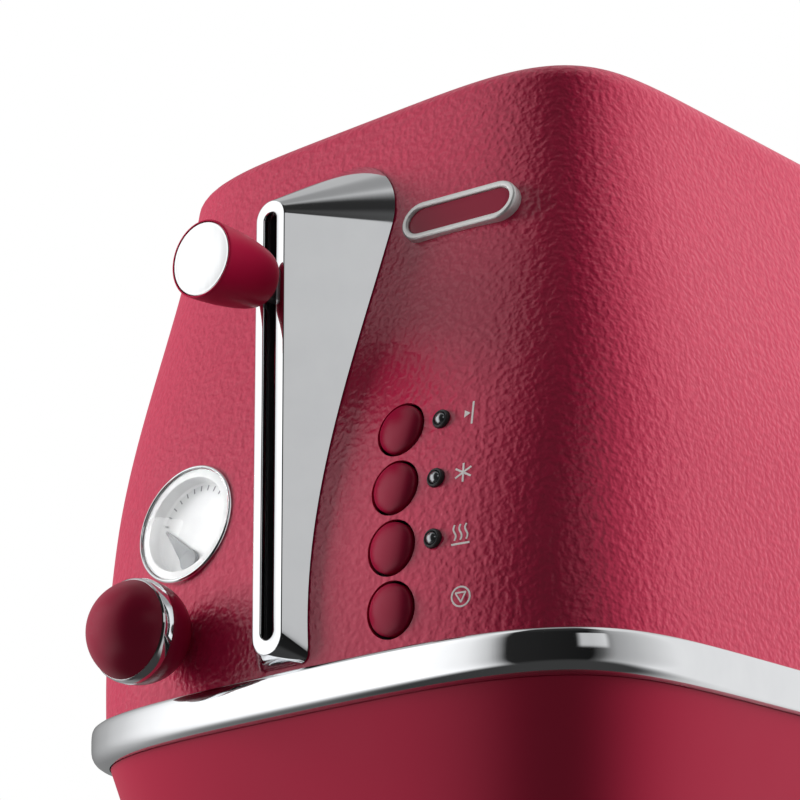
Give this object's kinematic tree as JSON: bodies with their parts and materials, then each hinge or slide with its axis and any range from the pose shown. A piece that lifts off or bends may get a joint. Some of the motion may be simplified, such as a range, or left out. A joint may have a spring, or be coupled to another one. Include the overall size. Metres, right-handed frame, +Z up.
{
  "type": "pop-up toaster",
  "caption": "Two-slot pop-up toaster with a bowed lacquered casing, bright band and fin, front lever, round gauge, browning knob, push buttons and rear crumb tray.",
  "frame": {"origin": "centre of the object's overall box in plan, on the plane that the feet stand on", "axes": "+Z up, -Y the lever end, +X to the right when facing the lever end, +Y to the cord inlet and crumb tray end"},
  "size_m": [0.1904, 0.3266, 0.2155],
  "materials": {
    "casing_paint": "leather-grain satin",
    "skirt_plastic": "smooth satin",
    "control_plastic": "smooth satin",
    "bright_chrome": "polished",
    "deck_steel": "brushed",
    "chassis_steel": "zinc plated",
    "black_plastic": "matt",
    "foot_rubber": "matt",
    "lens_glass": "clear",
    "dial_face": "matt",
    "needle_grey": "matt",
    "lamp_plastic": "clear",
    "mica_sheet": "matt",
    "heating_wire": "oxidised",
    "circuit_board": "satin",
    "coil_copper": "enamelled"
  },
  "bodies": {
    "casing": {"body_shell": "casing_paint", "top_deck": "deck_steel", "chrome_band": "bright_chrome", "base_skirt": "skirt_plastic", "base_plate": "chassis_steel", "feet": "foot_rubber", "lever_fin": "bright_chrome", "slot_liner": "black_plastic", "gauge_bezel": "bright_chrome", "gauge_lens": "lens_glass", "gauge_dial": "dial_face", "gauge_housing": "black_plastic", "potentiometer": "chassis_steel", "indicator_lamps": "lamp_plastic", "badge_frame": "bright_chrome", "badge_plate": "control_plastic", "control_bracket": "black_plastic", "control_board": "circuit_board", "button_switches": "black_plastic", "front_frame": "chassis_steel", "rear_frame": "chassis_steel", "left_reflector": "chassis_steel", "right_reflector": "chassis_steel", "heater_left_outer": "mica_sheet", "heater_left_inner": "mica_sheet", "heater_right_inner": "mica_sheet", "heater_right_outer": "mica_sheet", "heating_wires": "heating_wire", "guide_rod": "bright_chrome", "lift_spring": "bright_chrome", "electromagnet": "coil_copper", "power_board": "circuit_board", "cord_gland": "black_plastic", "base_screws": "chassis_steel", "board_screws": "chassis_steel"},
    "lever": {"carriage": "chassis_steel", "lever_arm": "chassis_steel", "lever_knob": "control_plastic", "lever_cap": "deck_steel", "lifter_left": "chassis_steel", "lifter_right": "chassis_steel", "armature": "chassis_steel"},
    "dial_knob": {"knob_front": "control_plastic", "knob_ring": "bright_chrome", "knob_back": "control_plastic", "knob_shaft": "chassis_steel"},
    "needle": {"gauge_needle": "needle_grey"},
    "button_1": {"button_bagel": "control_plastic"},
    "button_2": {"button_defrost": "control_plastic"},
    "button_3": {"button_reheat": "control_plastic"},
    "button_4": {"button_cancel": "control_plastic"},
    "bread_guide_1": {"guide_left_outer": "bright_chrome"},
    "bread_guide_2": {"guide_left_inner": "bright_chrome"},
    "bread_guide_3": {"guide_right_inner": "bright_chrome"},
    "bread_guide_4": {"guide_right_outer": "bright_chrome"},
    "tray": {"crumb_tray": "chassis_steel", "tray_handle": "skirt_plastic"}
  },
  "joints": [
    {"name": "lever_slide", "type": "slide", "parent": "casing", "child": "lever", "axis": [0, 0, 1], "range_m": [-0.084, 0.014], "stiffness_N_per_m": 55, "springref_m": 0.03, "deforming": ["lift_spring"]},
    {"name": "dial_turn", "type": "hinge", "parent": "casing", "child": "dial_knob", "pos_m": [-0.039, -0.147, 0.0647], "axis": [0, -1, 0], "range_deg": [-270, 0]},
    {"name": "needle_turn", "type": "hinge", "parent": "casing", "child": "needle", "pos_m": [-0.039, -0.13098, 0.08794], "axis": [0, -0.9848, 0.1735], "range_deg": [-90, 0]},
    {"name": "cancel_press", "type": "slide", "parent": "casing", "child": "button_4", "axis": [0, 1, -0.0098], "range_m": [0, 0.0025], "stiffness_N_per_m": 300, "springref_m": -0.003},
    {"name": "reheat_press", "type": "slide", "parent": "casing", "child": "button_3", "axis": [0, 0.9959, -0.0904], "range_m": [0, 0.0025], "stiffness_N_per_m": 300, "springref_m": -0.003},
    {"name": "defrost_press", "type": "slide", "parent": "casing", "child": "button_2", "axis": [0, 0.988, -0.1546], "range_m": [0, 0.0025], "stiffness_N_per_m": 300, "springref_m": -0.003},
    {"name": "bagel_press", "type": "slide", "parent": "casing", "child": "button_1", "axis": [0, 0.9792, -0.203], "range_m": [0, 0.0025], "stiffness_N_per_m": 300, "springref_m": -0.003},
    {"name": "guide_1_lean", "type": "hinge", "parent": "casing", "child": "bread_guide_1", "pos_m": [-0.0415, 0.01313, 0.051], "axis": [0, 1, 0], "range_deg": [-0.5, 3]},
    {"name": "guide_2_lean", "type": "hinge", "parent": "casing", "child": "bread_guide_2", "pos_m": [-0.0105, 0.01313, 0.051], "axis": [0, -1, 0], "range_deg": [-0.5, 3]},
    {"name": "guide_3_lean", "type": "hinge", "parent": "casing", "child": "bread_guide_3", "pos_m": [0.0105, 0.01313, 0.051], "axis": [0, 1, 0], "range_deg": [-0.5, 3]},
    {"name": "guide_4_lean", "type": "hinge", "parent": "casing", "child": "bread_guide_4", "pos_m": [0.0415, 0.01313, 0.051], "axis": [0, -1, 0], "range_deg": [-0.5, 3]},
    {"name": "tray_slide", "type": "slide", "parent": "casing", "child": "tray", "axis": [0, 1, 0], "range_m": [0, 0.19]}
  ],
  "couplings": [
    {"joint": "needle_turn", "follows": "dial_turn", "ratio": 0.33333},
    {"joint": "guide_1_lean", "follows": "lever_slide", "rad_per_m": -0.62333},
    {"joint": "guide_2_lean", "follows": "lever_slide", "rad_per_m": -0.62333},
    {"joint": "guide_3_lean", "follows": "lever_slide", "rad_per_m": -0.62333},
    {"joint": "guide_4_lean", "follows": "lever_slide", "rad_per_m": -0.62333}
  ]
}
